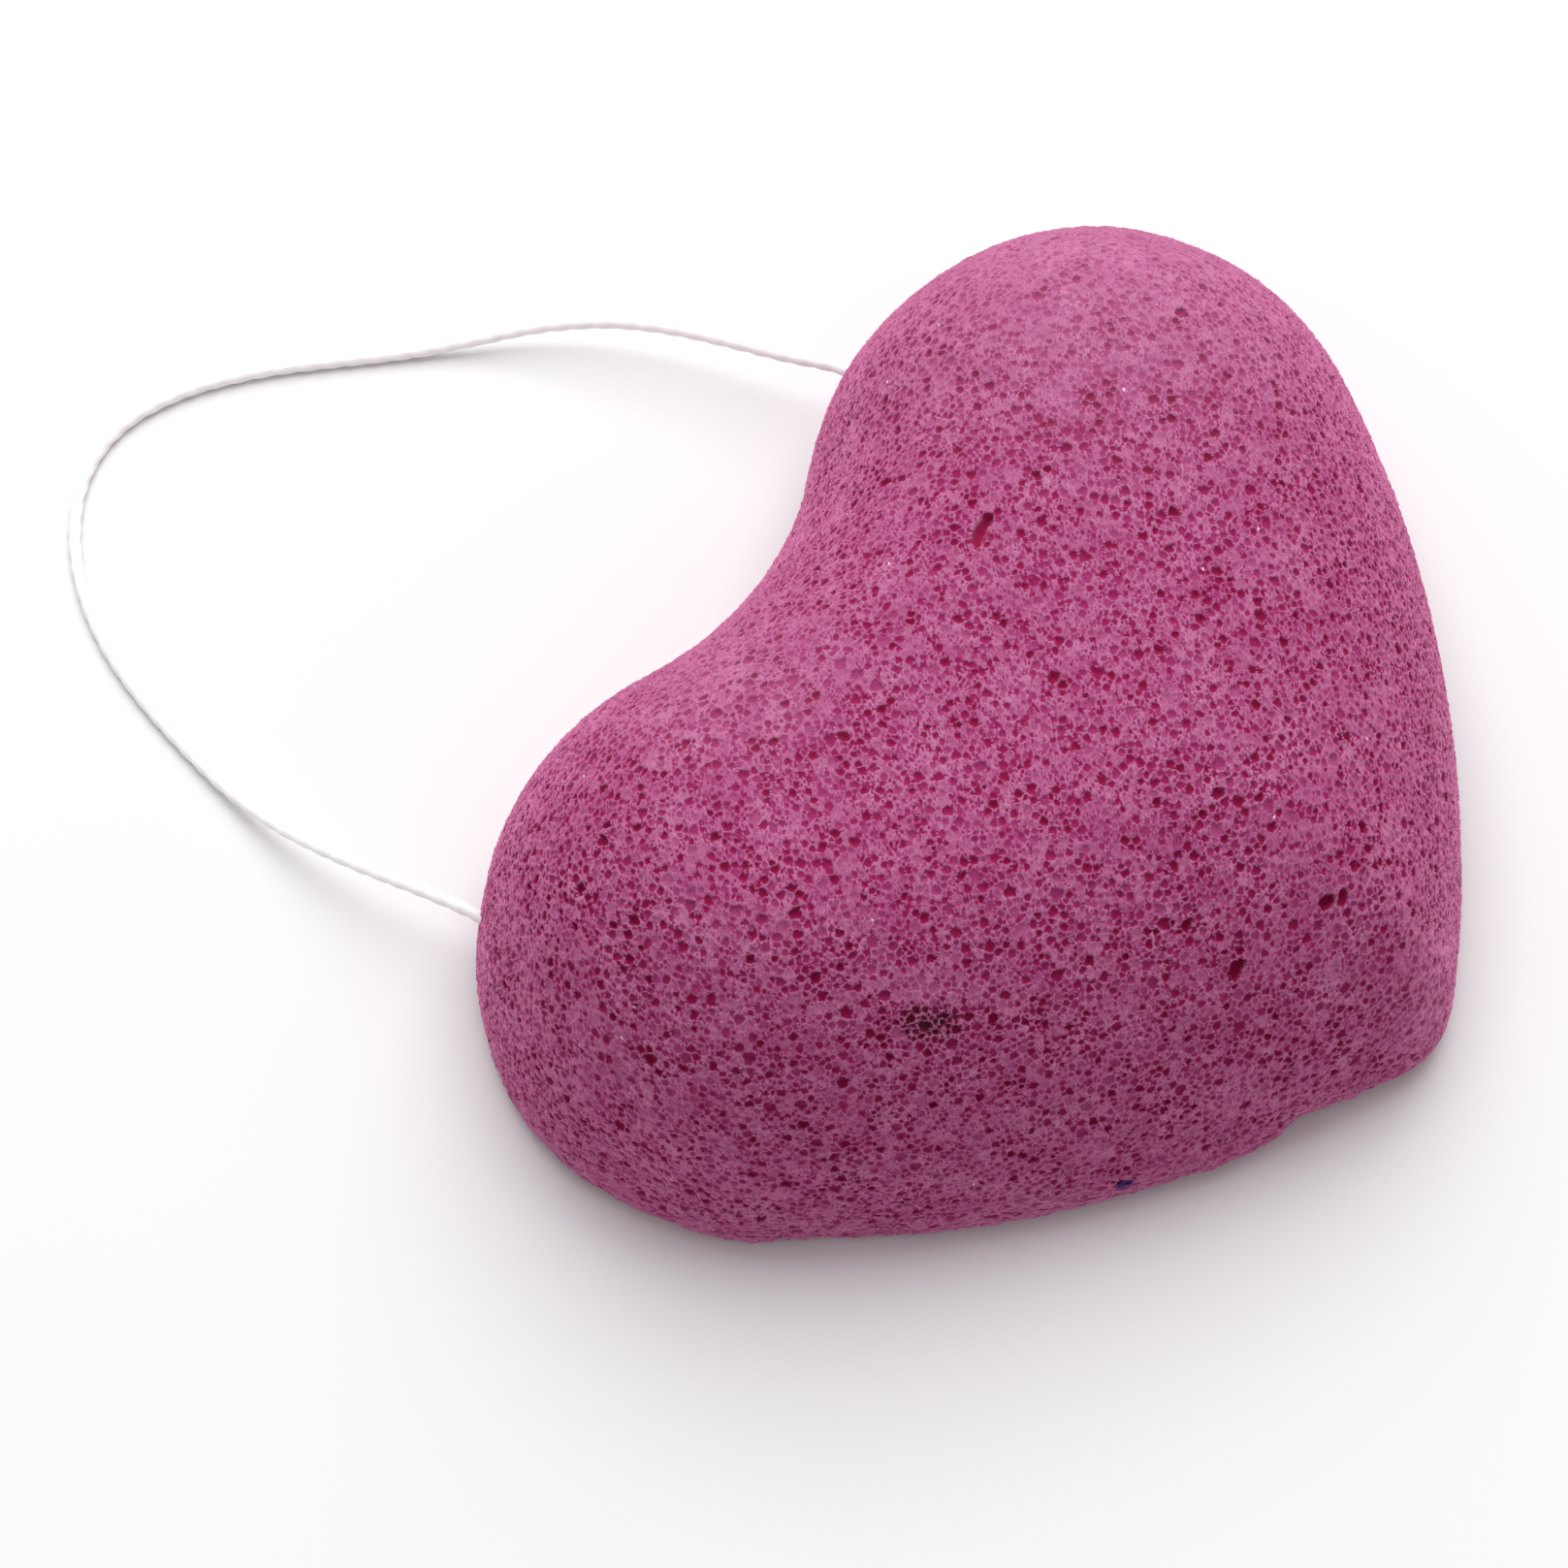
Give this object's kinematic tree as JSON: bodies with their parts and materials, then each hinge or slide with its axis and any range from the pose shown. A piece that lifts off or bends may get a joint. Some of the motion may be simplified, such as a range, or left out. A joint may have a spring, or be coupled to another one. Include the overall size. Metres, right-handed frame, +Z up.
{
  "type": "konjac sponge",
  "caption": "Heart-shaped konjac facial sponge with a flat base and a domed, open-pored top, and a cotton string loop through its lobes to hang it up to dry.",
  "frame": {"origin": "under the middle of the sponge's bounding box, on the surface that it lies on", "axes": "+X across the two lobes, +Y from the tip to the lobes and the string loop, +Z up out of the flat base"},
  "size_m": [0.087, 0.1124, 0.028],
  "materials": {
    "konjac_foam": "matte open-pored moulded konjac foam, dyed pink",
    "cotton_string": "matte twisted white cotton string"
  },
  "bodies": {
    "sponge": {"sponge_body": "konjac_foam", "string_buried_right": "cotton_string", "string_buried_left": "cotton_string", "string_knot": "cotton_string"},
    "loop": {"string_loop": "cotton_string"}
  },
  "joints": [
    {"name": "loop_swing", "type": "hinge", "parent": "sponge", "child": "loop", "pos_m": [0.02188, 0.03344, 0.0063], "axis": [0.9988, 0.0489, 0], "range_deg": [0, 100]}
  ]
}
